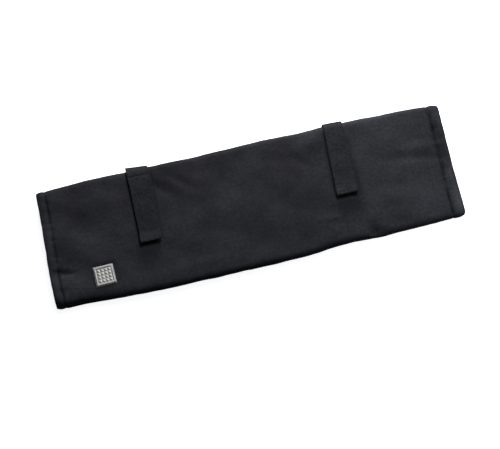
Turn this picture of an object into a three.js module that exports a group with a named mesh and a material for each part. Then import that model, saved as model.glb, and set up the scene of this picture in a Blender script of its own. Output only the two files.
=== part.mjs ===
// Knife roll of pack cloth, rolled shut and lying flat, with two webbing straps over it.
// Millimetres. +X runs along the roll, +Y to the back fold that the straps come over, +Z up.
import * as THREE from 'three';

// Driving dimensions
const rollLength = 500;         // hemmed end to hemmed end
const rollWidth = 150;          // front fold to back fold
const knifeSpace = 9.2;         // clear height inside, between the two inner layers
const fabricWall = 1.2;         // one layer of the doubled pack cloth
const layerGap = 0.5;           // air between two rolled layers
const foldCore = 3;             // radius left inside the innermost fold
const leftHemWidth = 10.5;      // cloth turned in and stitched at the left end
const rightHemWidth = 13.5;     // the same at the right end
const hemStep = 0.9;            // length over which a hem thins to the single cloth
const endTuck = 2;              // how far the inner layers stop short of the outer one
const flapSetback = 13;         // outer flap's free edge, in from the back fold
const innerEdgeSetback = 22;    // inner layer's free edge, in from the back fold
const topSag = 0.7;             // dip of the top face halfway between its folds
const webbingWidth = 24.5;
const webbingThickness = 1.3;
const webbingTurnUnder = 9;     // stitched end of the webbing, folded under itself
const webbingRootLength = 24;   // webbing sewn on the flap, under the inner layers
const backSlack = 1.1;          // how loosely the webbing passes behind the back fold
const tipLift = 0.5;            // how far the webbing's free end stands up
const closureThickness = 2.4;   // hook tape pressed on loop tape
const closureWidth = 20;
const closureLength = 56;
const closureSetback = 2.5;     // from the turned-under webbing to the closure tape
const badgeSide = 24;
const badgeThickness = 1.7;
const badgeRimWidth = 2.1;
const badgeRimDepth = 0.6;      // from the rim's top down to the field
const badgeFlange = 0.8;        // narrow step round the badge's foot
const badgeFlangeHeight = 0.5;
const studRise = 0.45;          // height of the small pyramids on the badge's field
const studsPerSide = 4;
const seatClearance = 0.3;      // between pieces that lie on each other

// Sizes that follow
const hemWall = 2 * fabricWall;
const webbingSlot = webbingThickness + 2 * seatClearance;
const innerFloor = Math.max(fabricWall + webbingSlot, hemWall + layerGap);
const rollHeight = innerFloor + 2 * hemWall + knifeSpace + layerGap + hemWall;
const foldReach = 2 * hemWall + layerGap + foldCore;
const foldMiddle = 0.45 * rollHeight;
const webbingStandoff = closureThickness + 2 * seatClearance;

// The roll's sections. at: place along the length. front, back: the folds, as shares of the width.
// height: share of the roll's height. bevel: extra reach of the front fold's upper turn, as a
// share of the height. lean: how the cut ends slant, in x for each unit of y.
const sections = [
  { at: -0.500, front: -0.481, back: 0.475, height: 0.950, bevel: 0.70, lean: 0.018 },
  { at: -0.488, front: -0.490, back: 0.483, height: 0.960, bevel: 0.68, lean: 0.018 },
  { at: -0.430, front: -0.498, back: 0.491, height: 0.980, bevel: 0.42, lean: 0.010 },
  { at: -0.336, front: -0.511, back: 0.498, height: 0.990, bevel: 0.10, lean: 0.000 },
  { at: -0.250, front: -0.519, back: 0.495, height: 0.990, bevel: 0.05, lean: 0.000 },
  { at: -0.160, front: -0.521, back: 0.492, height: 1.000, bevel: 0.05, lean: 0.000 },
  { at: -0.060, front: -0.521, back: 0.500, height: 1.000, bevel: 0.05, lean: 0.000 },
  { at: 0.040, front: -0.517, back: 0.504, height: 0.990, bevel: 0.05, lean: 0.000 },
  { at: 0.120, front: -0.511, back: 0.501, height: 0.990, bevel: 0.06, lean: 0.000 },
  { at: 0.168, front: -0.493, back: 0.497, height: 0.990, bevel: 0.08, lean: 0.000 },
  { at: 0.212, front: -0.489, back: 0.506, height: 1.000, bevel: 0.06, lean: 0.000 },
  { at: 0.280, front: -0.497, back: 0.500, height: 0.990, bevel: 0.12, lean: 0.000 },
  { at: 0.316, front: -0.490, back: 0.500, height: 0.990, bevel: 0.08, lean: 0.000 },
  { at: 0.380, front: -0.488, back: 0.498, height: 0.980, bevel: 0.05, lean: 0.004 },
  { at: 0.450, front: -0.484, back: 0.490, height: 0.970, bevel: 0.06, lean: 0.016 },
  { at: 0.488, front: -0.481, back: 0.478, height: 0.950, bevel: 0.08, lean: 0.025 },
  { at: 0.500, front: -0.470, back: 0.469, height: 0.940, bevel: 0.10, lean: 0.025 },
];

// Folds and dents of the top face. along, across: the middle, as shares of length and width.
// run: half length, as a share of the length. breadth: half width, as a share of the width.
// turn: degrees from +X. rise: share of the roll's height, up or down.
const folds = [
  { along: -0.468, across: -0.235, run: 0.020, breadth: 0.026, turn: -17, rise: -0.10 },
  { along: -0.470, across: -0.315, run: 0.026, breadth: 0.040, turn: -14, rise: 0.06 },
  { along: -0.206, across: 0.283, run: 0.028, breadth: 0.036, turn: -44, rise: -0.11 },
  { along: -0.176, across: 0.305, run: 0.026, breadth: 0.034, turn: -40, rise: 0.05 },
  { along: -0.147, across: 0.272, run: 0.036, breadth: 0.040, turn: -37, rise: -0.10 },
  { along: -0.155, across: -0.395, run: 0.070, breadth: 0.045, turn: 3, rise: 0.05 },
  { along: 0.141, across: 0.243, run: 0.032, breadth: 0.042, turn: -51, rise: -0.10 },
  { along: 0.184, across: 0.400, run: 0.022, breadth: 0.080, turn: 0, rise: 0.06 },
  { along: 0.288, across: 0.330, run: 0.050, breadth: 0.060, turn: 84, rise: -0.07 },
  { along: 0.222, across: -0.255, run: 0.024, breadth: 0.055, turn: 8, rise: -0.07 },
  { along: 0.262, across: -0.335, run: 0.030, breadth: 0.050, turn: 6, rise: 0.06 },
  { along: 0.266, across: -0.440, run: 0.024, breadth: 0.045, turn: -8, rise: -0.16 },
  { along: 0.330, across: -0.283, run: 0.030, breadth: 0.060, turn: 20, rise: -0.05 },
  { along: 0.410, across: 0.073, run: 0.068, breadth: 0.040, turn: -10, rise: -0.11 },
  { along: 0.436, across: 0.145, run: 0.045, breadth: 0.045, turn: -8, rise: 0.05 },
  { along: 0.363, across: -0.050, run: 0.040, breadth: 0.080, turn: 30, rise: 0.04 },
  { along: -0.340, across: 0.060, run: 0.090, breadth: 0.140, turn: 35, rise: -0.04 },
  { along: -0.040, across: -0.060, run: 0.120, breadth: 0.160, turn: -12, rise: 0.04 },
];

// The straps. at: middle of the free end along the length. tip: the free end, as a share of the
// width. lean: sideways shift for each unit of length up the strap.
const straps = [
  { side: 'left', at: -0.253, tip: -0.133, lean: 0.010 },
  { side: 'right', at: 0.2315, tip: -0.107, lean: 0.038 },
];

const badgeSeat = { along: -0.377, across: -0.323, turn: 1.2 };

// Points along each stretch of the rolled cloth's section, and along the roll
const clothSteps = {
  flap: 2, lowTurn: 4, highTurn: 5, top: 17, backHighTurn: 4, backLowTurn: 4,
  innerFloor: 2, innerLowTurn: 3, innerHighTurn: 4, innerTop: 3,
};
const sectionSpans = 35;
const strapSpans = { root: 2, backLowTurn: 5, backHighTurn: 5, top: 12 };
const strapStations = 2;

const cloth = new THREE.MeshStandardMaterial({ color: 0x26272b, roughness: 0.85, metalness: 0 });
const webbing = new THREE.MeshStandardMaterial({ color: 0x2b2b29, roughness: 0.8, metalness: 0 });
const closureTape = new THREE.MeshStandardMaterial({ color: 0x151515, roughness: 0.95 });
const badgeMetal = new THREE.MeshStandardMaterial({ color: 0xc4c5c3, roughness: 0.35, metalness: 1 });

// A smooth curve through one column of a table, read at a place along the roll
function readColumn(rows, name, at) {
  const last = rows.length - 1;
  const place = Math.min(Math.max(at, rows[0].at), rows[last].at);
  let i = 0;
  while (i < last - 1 && place > rows[i + 1].at) i += 1;
  const slope = (j) => {
    const before = rows[Math.max(j - 1, 0)];
    const after = rows[Math.min(j + 1, last)];
    return (after[name] - before[name]) / (after.at - before.at);
  };
  const span = rows[i + 1].at - rows[i].at;
  const t = (place - rows[i].at) / span;
  const rest = 1 - t;
  return rest * rest * (1 + 2 * t) * rows[i][name] + t * t * (3 - 2 * t) * rows[i + 1][name]
    + t * rest * span * (rest * slope(i) - t * slope(i + 1));
}

function smoothStep(low, high, value) {
  const t = Math.min(Math.max((value - low) / (high - low), 0), 1);
  return t * t * (3 - 2 * t);
}

// Folds die out under the straps and the badge, which press the cloth flat
function pressedFlat(x, y) {
  const fade = 8;
  const free = straps.map((strap) => {
    const middle = strap.at * rollLength + strap.lean * (y - strap.tip * rollWidth);
    return smoothStep(webbingWidth / 2 + 1, webbingWidth / 2 + 1 + fade, Math.abs(x - middle));
  });
  const dx = Math.abs(x - badgeSeat.along * rollLength);
  const dy = Math.abs(y - badgeSeat.across * rollWidth);
  const fromBadge = Math.max(dx, dy);
  free.push(smoothStep(badgeSide / 2 + 1, badgeSide / 2 + 1 + fade, fromBadge));
  return Math.min(...free);
}

// Height of the top face over the surface that the roll lies on
function topFace(at, y) {
  const x = at * rollLength;
  let rise = 0;
  for (const fold of folds) {
    const angle = THREE.MathUtils.degToRad(fold.turn);
    const dx = x - fold.along * rollLength;
    const dy = y - fold.across * rollWidth;
    const u = (dx * Math.cos(angle) + dy * Math.sin(angle)) / (fold.run * rollLength);
    const v = (dy * Math.cos(angle) - dx * Math.sin(angle)) / (fold.breadth * rollWidth);
    rise += fold.rise * Math.exp(-u * u - v * v);
  }
  const across = y / (rollWidth / 2);
  const sag = topSag * Math.max(0, 1 - across * across);
  const height = readColumn(sections, 'height', at) * rollHeight;
  return height - sag + rise * rollHeight * pressedFlat(x, y);
}

// What the sections table and the hems say at one place along the roll
function sectionAt(at) {
  const leftHem = at * rollLength + rollLength / 2 - leftHemWidth;
  const rightHem = rollLength / 2 - at * rollLength - rightHemWidth;
  const single = smoothStep(0, hemStep, leftHem) * smoothStep(0, hemStep, rightHem);
  const wall = hemWall - (hemWall - fabricWall) * single;
  return {
    at,
    wall,
    front: readColumn(sections, 'front', at) * rollWidth,
    back: readColumn(sections, 'back', at) * rollWidth,
    lean: readColumn(sections, 'lean', at),
    upperReach: foldReach + readColumn(sections, 'bevel', at) * rollHeight,
    inset: wall + layerGap,
  };
}

// Appends steps + 1 points of one stretch, leaving out the first where it repeats the last
function addStretch(points, steps, pointAt) {
  for (let i = points.length ? 1 : 0; i <= steps; i += 1) points.push(pointAt(i / steps));
}

// The back fold from the top face down to the inner floor, as the outside of the cloth
function backHighTurn(section, share) {
  const angle = (1 - share) * Math.PI / 2;
  const y = section.back - foldReach * (1 - Math.cos(angle));
  return [y, foldMiddle + (topFace(section.at, y) - foldMiddle) * Math.sin(angle)];
}

function backLowTurn(section, share) {
  const angle = share * Math.PI / 2;
  const y = section.back - foldReach * (1 - Math.cos(angle));
  return [y, foldMiddle - (foldMiddle - innerFloor) * Math.sin(angle)];
}

// The outside of the whole rolled cloth, from the flap's free edge underneath, round the front
// fold, over the top, round the back fold, and once more inside, where it lies below every dent
function clothOutside(section) {
  const { at, front, back, inset, upperReach } = section;
  const quarter = Math.PI / 2;
  const lowCentre = front + foldReach;
  const highCentre = front + upperReach;
  const topEnd = back - foldReach;
  const points = [];
  addStretch(points, clothSteps.flap, (t) => [
    THREE.MathUtils.lerp(back - flapSetback, lowCentre, t), 0,
  ]);
  addStretch(points, clothSteps.lowTurn, (t) => [
    lowCentre - foldReach * Math.sin(t * quarter), foldMiddle * (1 - Math.cos(t * quarter)),
  ]);
  addStretch(points, clothSteps.highTurn, (t) => {
    const y = highCentre - upperReach * Math.cos(t * quarter);
    return [y, foldMiddle + (topFace(at, y) - foldMiddle) * Math.sin(t * quarter)];
  });
  addStretch(points, clothSteps.top, (t) => {
    const y = THREE.MathUtils.lerp(highCentre, topEnd, t);
    return [y, topFace(at, y)];
  });
  const innerHeight = Math.min(...points.slice(-clothSteps.top - 3).map(([, z]) => z)) - inset;
  addStretch(points, clothSteps.backHighTurn, (t) => backHighTurn(section, t));
  addStretch(points, clothSteps.backLowTurn, (t) => backLowTurn(section, t));
  const innerStart = points.length;
  addStretch(points, clothSteps.innerFloor, (t) => [
    THREE.MathUtils.lerp(topEnd, lowCentre, t), innerFloor,
  ]);
  addStretch(points, clothSteps.innerLowTurn, (t) => [
    lowCentre - (foldReach - inset) * Math.sin(t * quarter),
    foldMiddle - (foldMiddle - innerFloor) * Math.cos(t * quarter),
  ]);
  addStretch(points, clothSteps.innerHighTurn, (t) => [
    highCentre - (upperReach - inset) * Math.cos(t * quarter),
    foldMiddle + (innerHeight - foldMiddle) * Math.sin(t * quarter),
  ]);
  addStretch(points, clothSteps.innerTop, (t) => [
    THREE.MathUtils.lerp(highCentre, back - innerEdgeSetback, t), innerHeight,
  ]);
  return { points, innerStart };
}

// The line on the right of a path of [y, z] points, at a distance that may change along it
function offsetRight(points, distanceAt) {
  return points.map((point, i) => {
    const before = points[Math.max(i - 1, 0)];
    const after = points[Math.min(i + 1, points.length - 1)];
    const dy = after[0] - before[0];
    const dz = after[1] - before[1];
    const distance = distanceAt(i) / Math.hypot(dy, dz);
    return [point[0] + dz * distance, point[1] - dy * distance];
  });
}

// A closed solid between two grids of points, rows by columns, that face the same way
function sheetSolid(upper, lower) {
  const rows = upper.length;
  const columns = upper[0].length;
  const positions = [...upper.flat(), ...lower.flat()].flat();
  const top = (i, k) => i * columns + k;
  const bottom = (i, k) => rows * columns + i * columns + k;
  const index = [];
  const quad = (a, b, c, d, turned) => {
    if (turned) index.push(a, b, d, b, c, d);
    else index.push(a, b, c, a, c, d);
  };
  for (let i = 0; i < rows - 1; i += 1) {
    for (let k = 0; k < columns - 1; k += 1) {
      const turned = (i + k) % 2 === 1;
      quad(top(i, k), top(i + 1, k), top(i + 1, k + 1), top(i, k + 1), turned);
      quad(bottom(i, k), bottom(i, k + 1), bottom(i + 1, k + 1), bottom(i + 1, k), turned);
    }
  }
  for (let k = 0; k < columns - 1; k += 1) {
    quad(top(0, k), top(0, k + 1), bottom(0, k + 1), bottom(0, k), false);
    const end = rows - 1;
    quad(top(end, k + 1), top(end, k), bottom(end, k), bottom(end, k + 1), false);
  }
  for (let i = 0; i < rows - 1; i += 1) {
    quad(top(i + 1, 0), top(i, 0), bottom(i, 0), bottom(i + 1, 0), false);
    const end = columns - 1;
    quad(top(i, end), top(i + 1, end), bottom(i + 1, end), bottom(i, end), false);
  }
  const geometry = new THREE.BufferGeometry();
  geometry.setAttribute('position', new THREE.Float32BufferAttribute(positions, 3));
  geometry.setIndex(index);
  geometry.computeVertexNormals();
  return geometry;
}

function named(name, geometry, material) {
  const mesh = new THREE.Mesh(geometry, material);
  mesh.name = name;
  return mesh;
}

// Places along the roll of the cloth's sections: even spans, and both ends of each hem's step
function clothStations() {
  const leftHem = leftHemWidth / rollLength - 0.5;
  const rightHem = 0.5 - rightHemWidth / rollLength;
  const step = hemStep / rollLength;
  const stations = [-0.5, -0.5 + leftHemWidth / rollLength / 2, leftHem];
  const inner = [leftHem + step, rightHem - step];
  for (let i = 0; i <= sectionSpans; i += 1) {
    stations.push(THREE.MathUtils.lerp(inner[0], inner[1], i / sectionSpans));
  }
  stations.push(rightHem, 0.5 - rightHemWidth / rollLength / 2, 0.5);
  return stations;
}

function makeCover() {
  const outside = [];
  const inside = [];
  for (const at of clothStations()) {
    const section = sectionAt(at);
    const { points, innerStart } = clothOutside(section);
    const facingIn = offsetRight(points, () => section.wall);
    const tuck = -Math.sign(at) * endTuck * smoothStep(0.4, 0.5, Math.abs(at));
    const turnStart = innerStart - clothSteps.backLowTurn;
    const place = ([y, z], k) => [
      at * rollLength + section.lean * y + tuck * smoothStep(turnStart, innerStart, k), y, z,
    ];
    outside.push(points.map(place));
    inside.push(facingIn.map(place));
  }
  return named('cover', sheetSolid(outside, inside), cloth);
}

// How far the webbing's inner side stands off the cloth, from its root to its free end
function strapPath(section, tipY) {
  const points = [];
  const standoffs = [];
  const add = (steps, pointAt, standoffAt) => {
    const first = points.length ? 1 : 0;
    addStretch(points, steps, pointAt);
    for (let i = first; i <= steps; i += 1) standoffs.push(standoffAt(i / steps));
  };
  const turnY = section.back - foldReach;
  add(strapSpans.root, (t) => [turnY - webbingRootLength * (1 - t), innerFloor], () => seatClearance);
  add(strapSpans.backLowTurn, (t) => backLowTurn(section, 1 - t),
    (t) => THREE.MathUtils.lerp(seatClearance, backSlack, smoothStep(0, 1, t)));
  add(strapSpans.backHighTurn, (t) => backHighTurn(section, 1 - t),
    (t) => THREE.MathUtils.lerp(backSlack, webbingStandoff, smoothStep(0, 1, t)));
  const turnUnderY = tipY + webbingTurnUnder;
  add(strapSpans.top, (t) => {
    const y = THREE.MathUtils.lerp(turnY, turnUnderY, t);
    return [y, topFace(section.at, y)];
  }, () => webbingStandoff);
  const doubledFrom = points.length;
  add(2, (t) => {
    const y = THREE.MathUtils.lerp(turnUnderY, tipY, t);
    return [y, topFace(section.at, y)];
  }, (t) => webbingStandoff + tipLift * t);
  return { points, standoffs, doubledFrom };
}

function makeStrap(strap) {
  const tipY = strap.tip * rollWidth;
  const outer = [];
  const inner = [];
  for (let j = 0; j <= strapStations; j += 1) {
    const sideways = (j / strapStations - 0.5) * webbingWidth;
    const endX = strap.at * rollLength + sideways;
    const topX = endX + strap.lean * (rollWidth / 2 - tipY);
    const section = sectionAt(topX / rollLength);
    const { points, standoffs, doubledFrom } = strapPath(section, tipY);
    const near = offsetRight(points, (k) => {
      return standoffs[k] - (k >= doubledFrom ? webbingThickness : 0);
    });
    const far = offsetRight(points, (k) => standoffs[k] + webbingThickness);
    const place = ([y, z]) => [endX + strap.lean * (y - tipY), y, z];
    outer.push(far.map(place));
    inner.push(near.map(place));
  }
  return named(`strap_${strap.side}`, sheetSolid(inner, outer), webbing);
}

// Hook and loop tape, pressed together between the webbing and the cloth
function makeClosurePad(strap) {
  const tipY = strap.tip * rollWidth;
  const startY = tipY + webbingTurnUnder + closureSetback;
  const upper = [];
  const lower = [];
  for (let j = 0; j <= strapStations; j += 1) {
    const sideways = (j / strapStations - 0.5) * closureWidth;
    const row = (lift) => Array.from({ length: 7 }, (_, k) => {
      const y = startY + closureLength * k / 6;
      const x = strap.at * rollLength + sideways + strap.lean * (y - tipY);
      return [x, y, topFace(x / rollLength, y) + lift];
    });
    upper.push(row(seatClearance + closureThickness));
    lower.push(row(seatClearance));
  }
  return named(`closure_pad_${strap.side}`, sheetSolid(upper, lower), closureTape);
}

// Lines across the badge from one side to the other, with the height of its face on each
function badgeLines() {
  const half = badgeSide / 2;
  const rim = badgeThickness;
  const field = badgeThickness - badgeRimDepth;
  const slope = badgeRimDepth / 2;
  const lines = [
    { at: -half, height: badgeFlangeHeight },
    { at: -half + badgeFlange, height: badgeFlangeHeight },
    { at: -half + badgeFlange + slope, height: rim },
    { at: -half + badgeFlange + badgeRimWidth - slope, height: rim },
    { at: -half + badgeFlange + badgeRimWidth, height: field },
  ];
  const fieldHalf = half - badgeFlange - badgeRimWidth - slope;
  const count = 2 * studsPerSide;
  for (let i = 0; i <= count; i += 1) {
    const at = THREE.MathUtils.lerp(-fieldHalf, fieldHalf, i / count);
    lines.push({ at, height: field + (i % 2) * studRise, stud: i % 2 === 1 });
  }
  const mirrored = lines.slice(0, 5).reverse().map(({ at, height }) => ({ at: -at, height }));
  return [...lines, ...mirrored];
}

// Square metal plate with a raised rim round a field of small pyramids
function makeBadge() {
  const lines = badgeLines();
  const inField = (line) => Math.abs(line.at) < badgeSide / 2 - badgeFlange - badgeRimWidth / 2;
  const faceHeight = (a, b) => {
    if (inField(a) && inField(b)) return Math.min(a.height, b.height);
    if (inField(a)) return b.height;
    if (inField(b)) return a.height;
    return Math.min(a.height, b.height);
  };
  const upper = lines.map((a) => lines.map((b) => [a.at, b.at, faceHeight(a, b)]));
  const lower = lines.map((a) => lines.map((b) => [a.at, b.at, 0]));
  const badge = named('badge', sheetSolid(upper, lower), badgeMetal);
  const x = badgeSeat.along * rollLength;
  const y = badgeSeat.across * rollWidth;
  const corners = [-badgeSide / 2, 0, badgeSide / 2];
  const seats = corners.flatMap((dx) => corners.map((dy) => topFace((x + dx) / rollLength, y + dy)));
  badge.position.set(x, y, Math.max(...seats) + seatClearance);
  badge.rotation.z = THREE.MathUtils.degToRad(badgeSeat.turn);
  return badge;
}

const roll = new THREE.Group();
roll.add(makeCover(), ...straps.map(makeStrap), ...straps.map(makeClosurePad), makeBadge());

// The origin is under the middle of the closed roll, straps included
const extent = new THREE.Box3().setFromObject(roll);
const middle = extent.getCenter(new THREE.Vector3());
roll.position.set(-middle.x, -middle.y, -extent.min.z);

export default roll;
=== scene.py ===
# Knife roll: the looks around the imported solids. Sizes are millimetres unless a note says metres.
import math

import bpy
import numpy as np
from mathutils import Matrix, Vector


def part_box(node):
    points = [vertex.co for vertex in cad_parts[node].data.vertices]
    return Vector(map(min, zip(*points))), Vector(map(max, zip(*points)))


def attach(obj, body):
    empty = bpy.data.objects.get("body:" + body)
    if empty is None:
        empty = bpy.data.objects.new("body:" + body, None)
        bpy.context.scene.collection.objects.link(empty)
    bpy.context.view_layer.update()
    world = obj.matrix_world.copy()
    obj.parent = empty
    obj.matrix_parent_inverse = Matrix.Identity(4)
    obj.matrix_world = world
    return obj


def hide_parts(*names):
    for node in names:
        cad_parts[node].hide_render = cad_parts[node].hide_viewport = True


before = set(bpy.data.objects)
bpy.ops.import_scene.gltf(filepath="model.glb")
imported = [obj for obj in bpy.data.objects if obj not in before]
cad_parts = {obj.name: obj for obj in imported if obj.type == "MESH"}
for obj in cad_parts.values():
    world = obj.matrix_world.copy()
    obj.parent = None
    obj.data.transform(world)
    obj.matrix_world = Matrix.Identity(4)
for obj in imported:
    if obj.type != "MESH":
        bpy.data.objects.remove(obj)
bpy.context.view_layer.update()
perMetre = 1000.0
print("frame loaded:", sorted(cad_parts))


# Number helpers
def smoothStep(low, high, value):
    # from 0 to 1 with soft ends
    t = np.clip((value - low) / (high - low), 0, 1)
    return t * t * (3 - 2 * t)


def between(a, b, share):
    return a + (b - a) * share


def bell(distance, width):
    return np.exp(-((distance / width) ** 2))


def patch(x, y, x0, y0, run, breadth, turn=0):
    # 1 in the middle of an oval, fading to 0 round it; turn in degrees
    c, s = math.cos(math.radians(turn)), math.sin(math.radians(turn))
    dx, dy = x - x0, y - y0
    return bell(dx * c + dy * s, run) * bell(dy * c - dx * s, breadth)


def patches(x, y, rows):
    # the sum of a table of such ovals, each with its height or amount last
    return sum(row[-1] * patch(x, y, *row[:-1]) for row in rows)


def alongLine(x, y, x0, y0, x1, y1):
    # share of the way along a line, and distance off it
    share = ((x - x0) * (x1 - x0) + (y - y0) * (y1 - y0)) / ((x1 - x0) ** 2 + (y1 - y0) ** 2)
    share = np.clip(share, 0, 1)
    return share, np.hypot(x - x0 - share * (x1 - x0), y - y0 - share * (y1 - y0))


noiseCells = 257


def softNoise(u, v, scale, seed):
    # smooth noise between -1 and 1 over a plane, the same on each run
    cells = np.random.default_rng(seed).uniform(-1, 1, (noiseCells, noiseCells))
    a, b = np.broadcast_arrays(u / scale, v / scale)
    i, j = np.floor(a).astype(int), np.floor(b).astype(int)
    s, t = a - i, b - j
    s, t = s * s * (3 - 2 * s), t * t * (3 - 2 * t)

    def at(p, q):
        return cells[p % noiseCells, q % noiseCells]

    low = at(i, j) * (1 - s) + at(i + 1, j) * s
    high = at(i, j + 1) * (1 - s) + at(i + 1, j + 1) * s
    return low * (1 - t) + high * t


def evenly(steps):
    return np.linspace(0, 1, steps + 1)[1:]


def acrossSteps(half, edge, count):
    # places across a strip, closer together at its two edges
    inner = half - edge[-1] - 1
    return np.concatenate([edge - half, np.linspace(-inner, inner, count), half - edge[::-1]])


def running(steps):
    # length travelled along a line, from the lengths of its steps
    return np.concatenate([[0], np.cumsum(steps)])[None, :]


def gridNormals(points):
    along = np.gradient(points, axis=0)
    across = np.gradient(points, axis=1)
    normal = np.cross(along, across)
    return normal / np.maximum(np.linalg.norm(normal, axis=2, keepdims=True), 1e-9)


def roundedEdge(edge, radius, least=0.012):
    # share of the half thickness that is left at a distance in from a rounded edge
    within = np.clip(edge / radius, 0, 1)
    return np.sqrt(np.maximum(1 - (1 - within) ** 2, least))


# Object and mesh helpers
def linkedObject(name, data):
    piece = bpy.data.objects.new(name, data)
    bpy.context.scene.collection.objects.link(piece)
    return piece


def setAttribute(mesh, label, kind, field):
    attribute = mesh.attributes.new(label, kind, "POINT")
    content = "vector" if kind == "FLOAT_VECTOR" else "value"
    attribute.data.foreach_set(content, field.astype(np.float32).ravel())


def rollMesh(name, points, edges, faces):
    # a mesh from points in the roll's own frame
    mesh = bpy.data.meshes.new(name)
    mesh.from_pydata(((points + rollShift) / perMetre).tolist(), edges, faces)
    return mesh


def sheetMesh(name, outer, inner, uv, values=None):
    # a closed sheet between two grids of points; the rows' and columns' cross product points out
    rows, columns = outer.shape[:2]
    count = rows * columns
    grid = np.arange(count).reshape(rows, columns)

    def quads(*corners):
        return np.stack([part.ravel() for part in corners], 1)

    def rim(line):
        return quads(line[:-1], line[1:], line[1:] + count, line[:-1] + count)

    face = quads(grid[:-1, :-1], grid[1:, :-1], grid[1:, 1:], grid[:-1, 1:])
    rims = [rim(grid[0]), rim(grid[-1, ::-1]), rim(grid[::-1, 0]), rim(grid[:, -1])]
    faces = np.concatenate([face, face[:, ::-1] + count, *rims])
    points = np.concatenate([outer.reshape(-1, 3), inner.reshape(-1, 3)])
    mesh = rollMesh(name, points, [], faces.tolist())
    mesh.shade_smooth()
    both = np.concatenate([uv.reshape(-1, 2)] * 2) / perMetre
    layer = mesh.uv_layers.new(name="cloth")
    layer.data.foreach_set("uv", both[faces.ravel()].astype(np.float32).ravel())
    for label, field in (values or {}).items():
        setAttribute(mesh, label, "FLOAT", np.concatenate([field.ravel()] * 2))
    return linkedObject(name, mesh)


def pathMesh(name, lines, normals):
    # loose edges along lines of points, each point with the direction that faces out
    edges, start = [], 0
    for line in lines:
        edges += [(start + i, start + i + 1) for i in range(len(line) - 1)]
        start += len(line)
    mesh = rollMesh(name, np.concatenate(lines), edges, [])
    setAttribute(mesh, "facing", "FLOAT_VECTOR", np.concatenate(normals))
    return linkedObject(name, mesh)


# Node helpers
class NodeMaker:
    # adds nodes to a tree and joins or sets their inputs by name
    def __init__(self, tree):
        self.tree = tree

    def add(self, kind, inputs=None, **settings):
        made = self.tree.nodes.new(kind)
        for label, value in settings.items():
            setattr(made, label, value)
        for label, value in (inputs or {}).items():
            self.put(made.inputs[label], value)
        return made

    def first(self, kind, inputs=None, **settings):
        # the same, for a node's first output
        return self.add(kind, inputs, **settings).outputs[0]

    def socket(self, label, kind, value=None, way="INPUT"):
        # an input or output of the tree itself, with its first value
        face = self.tree.interface
        made = face.new_socket(label, in_out=way, socket_type="NodeSocket" + kind)
        if value is not None:
            made.default_value = value
        return made.identifier

    def put(self, socket, value):
        if isinstance(value, bpy.types.NodeSocket):
            self.tree.links.new(value, socket)
        elif value is not None:
            socket.default_value = value

    def maths(self, operation, a, b=None, c=None):
        made = self.add("ShaderNodeMath", operation=operation)
        for socket, value in zip(made.inputs, (a, b, c)):
            self.put(socket, value)
        return made.outputs[0]

    def times(self, a, b):
        return self.maths("MULTIPLY", a, b)

    def scaled(self, vector, factor):
        made = self.add("ShaderNodeVectorMath", {"Scale": factor}, operation="SCALE")
        self.put(made.inputs[0], vector)
        return made.outputs[0]


class ShapeMaker(NodeMaker):
    # a Geometry Nodes tree with named inputs, in metres or plain numbers
    def __init__(self, name, sizes):
        super().__init__(bpy.data.node_groups.new(name, "GeometryNodeTree"))
        self.socket("Geometry", "Geometry")
        self.sockets = {}
        for label, value in sizes.items():
            kind = "Int" if isinstance(value, int) else "Float"
            self.sockets[label] = self.socket(label, kind, value)
        self.socket("Geometry", "Geometry", way="OUTPUT")
        self.given = self.add("NodeGroupInput").outputs
        self.result = self.add("NodeGroupOutput").inputs[0]

    def attribute(self, label, kind="FLOAT"):
        return self.first("GeometryNodeInputNamedAttribute", {"Name": label}, data_type=kind)

    def random(self, kind, low, high, seed):
        made = self.add("FunctionNodeRandomValue", data_type=kind)
        wanted = {"Min": low, "Max": high, "Seed": seed}
        for socket in made.inputs:
            if socket.enabled and socket.name in wanted:
                self.put(socket, wanted[socket.name])
        return next(socket for socket in made.outputs if socket.enabled)

    def rotation(self, euler):
        return self.first("FunctionNodeEulerToRotation", {"Euler": euler})

    def combined(self, x=None, y=None, z=None):
        return self.first("ShaderNodeCombineXYZ", {"X": x, "Y": y, "Z": z})

    def placed(self, points, instance, rotation=None, scale=None):
        inputs = {"Points": points, "Instance": instance, "Rotation": rotation, "Scale": scale}
        return self.first("GeometryNodeInstanceOnPoints", inputs)

    def joined(self, *parts):
        made = self.add("GeometryNodeJoinGeometry")
        for part in parts:
            self.put(made.inputs[0], part)
        return made.outputs[0]

    def finish(self, geometry, material):
        solid = self.first("GeometryNodeRealizeInstances", {"Geometry": geometry})
        inputs = {"Geometry": solid, "Material": material}
        self.put(self.result, self.first("GeometryNodeSetMaterial", inputs))
        return self

    def applyTo(self, piece, lengths, plain=None):
        # runs the tree on a piece, lengths in millimetres, and keeps what it makes as a plain mesh
        modifier = piece.modifiers.new("shape", "NODES")
        modifier.node_group = self.tree
        sizes = {label: length / perMetre for label, length in lengths.items()}
        for label, value in {**sizes, **(plain or {})}.items():
            modifier[self.sockets[label]] = value
        seen = piece.evaluated_get(bpy.context.evaluated_depsgraph_get())
        made = bpy.data.meshes.new_from_object(seen)
        piece.modifiers.remove(modifier)
        old, piece.data = piece.data, made
        bpy.data.meshes.remove(old)
        made.name = piece.name
        return piece


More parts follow.
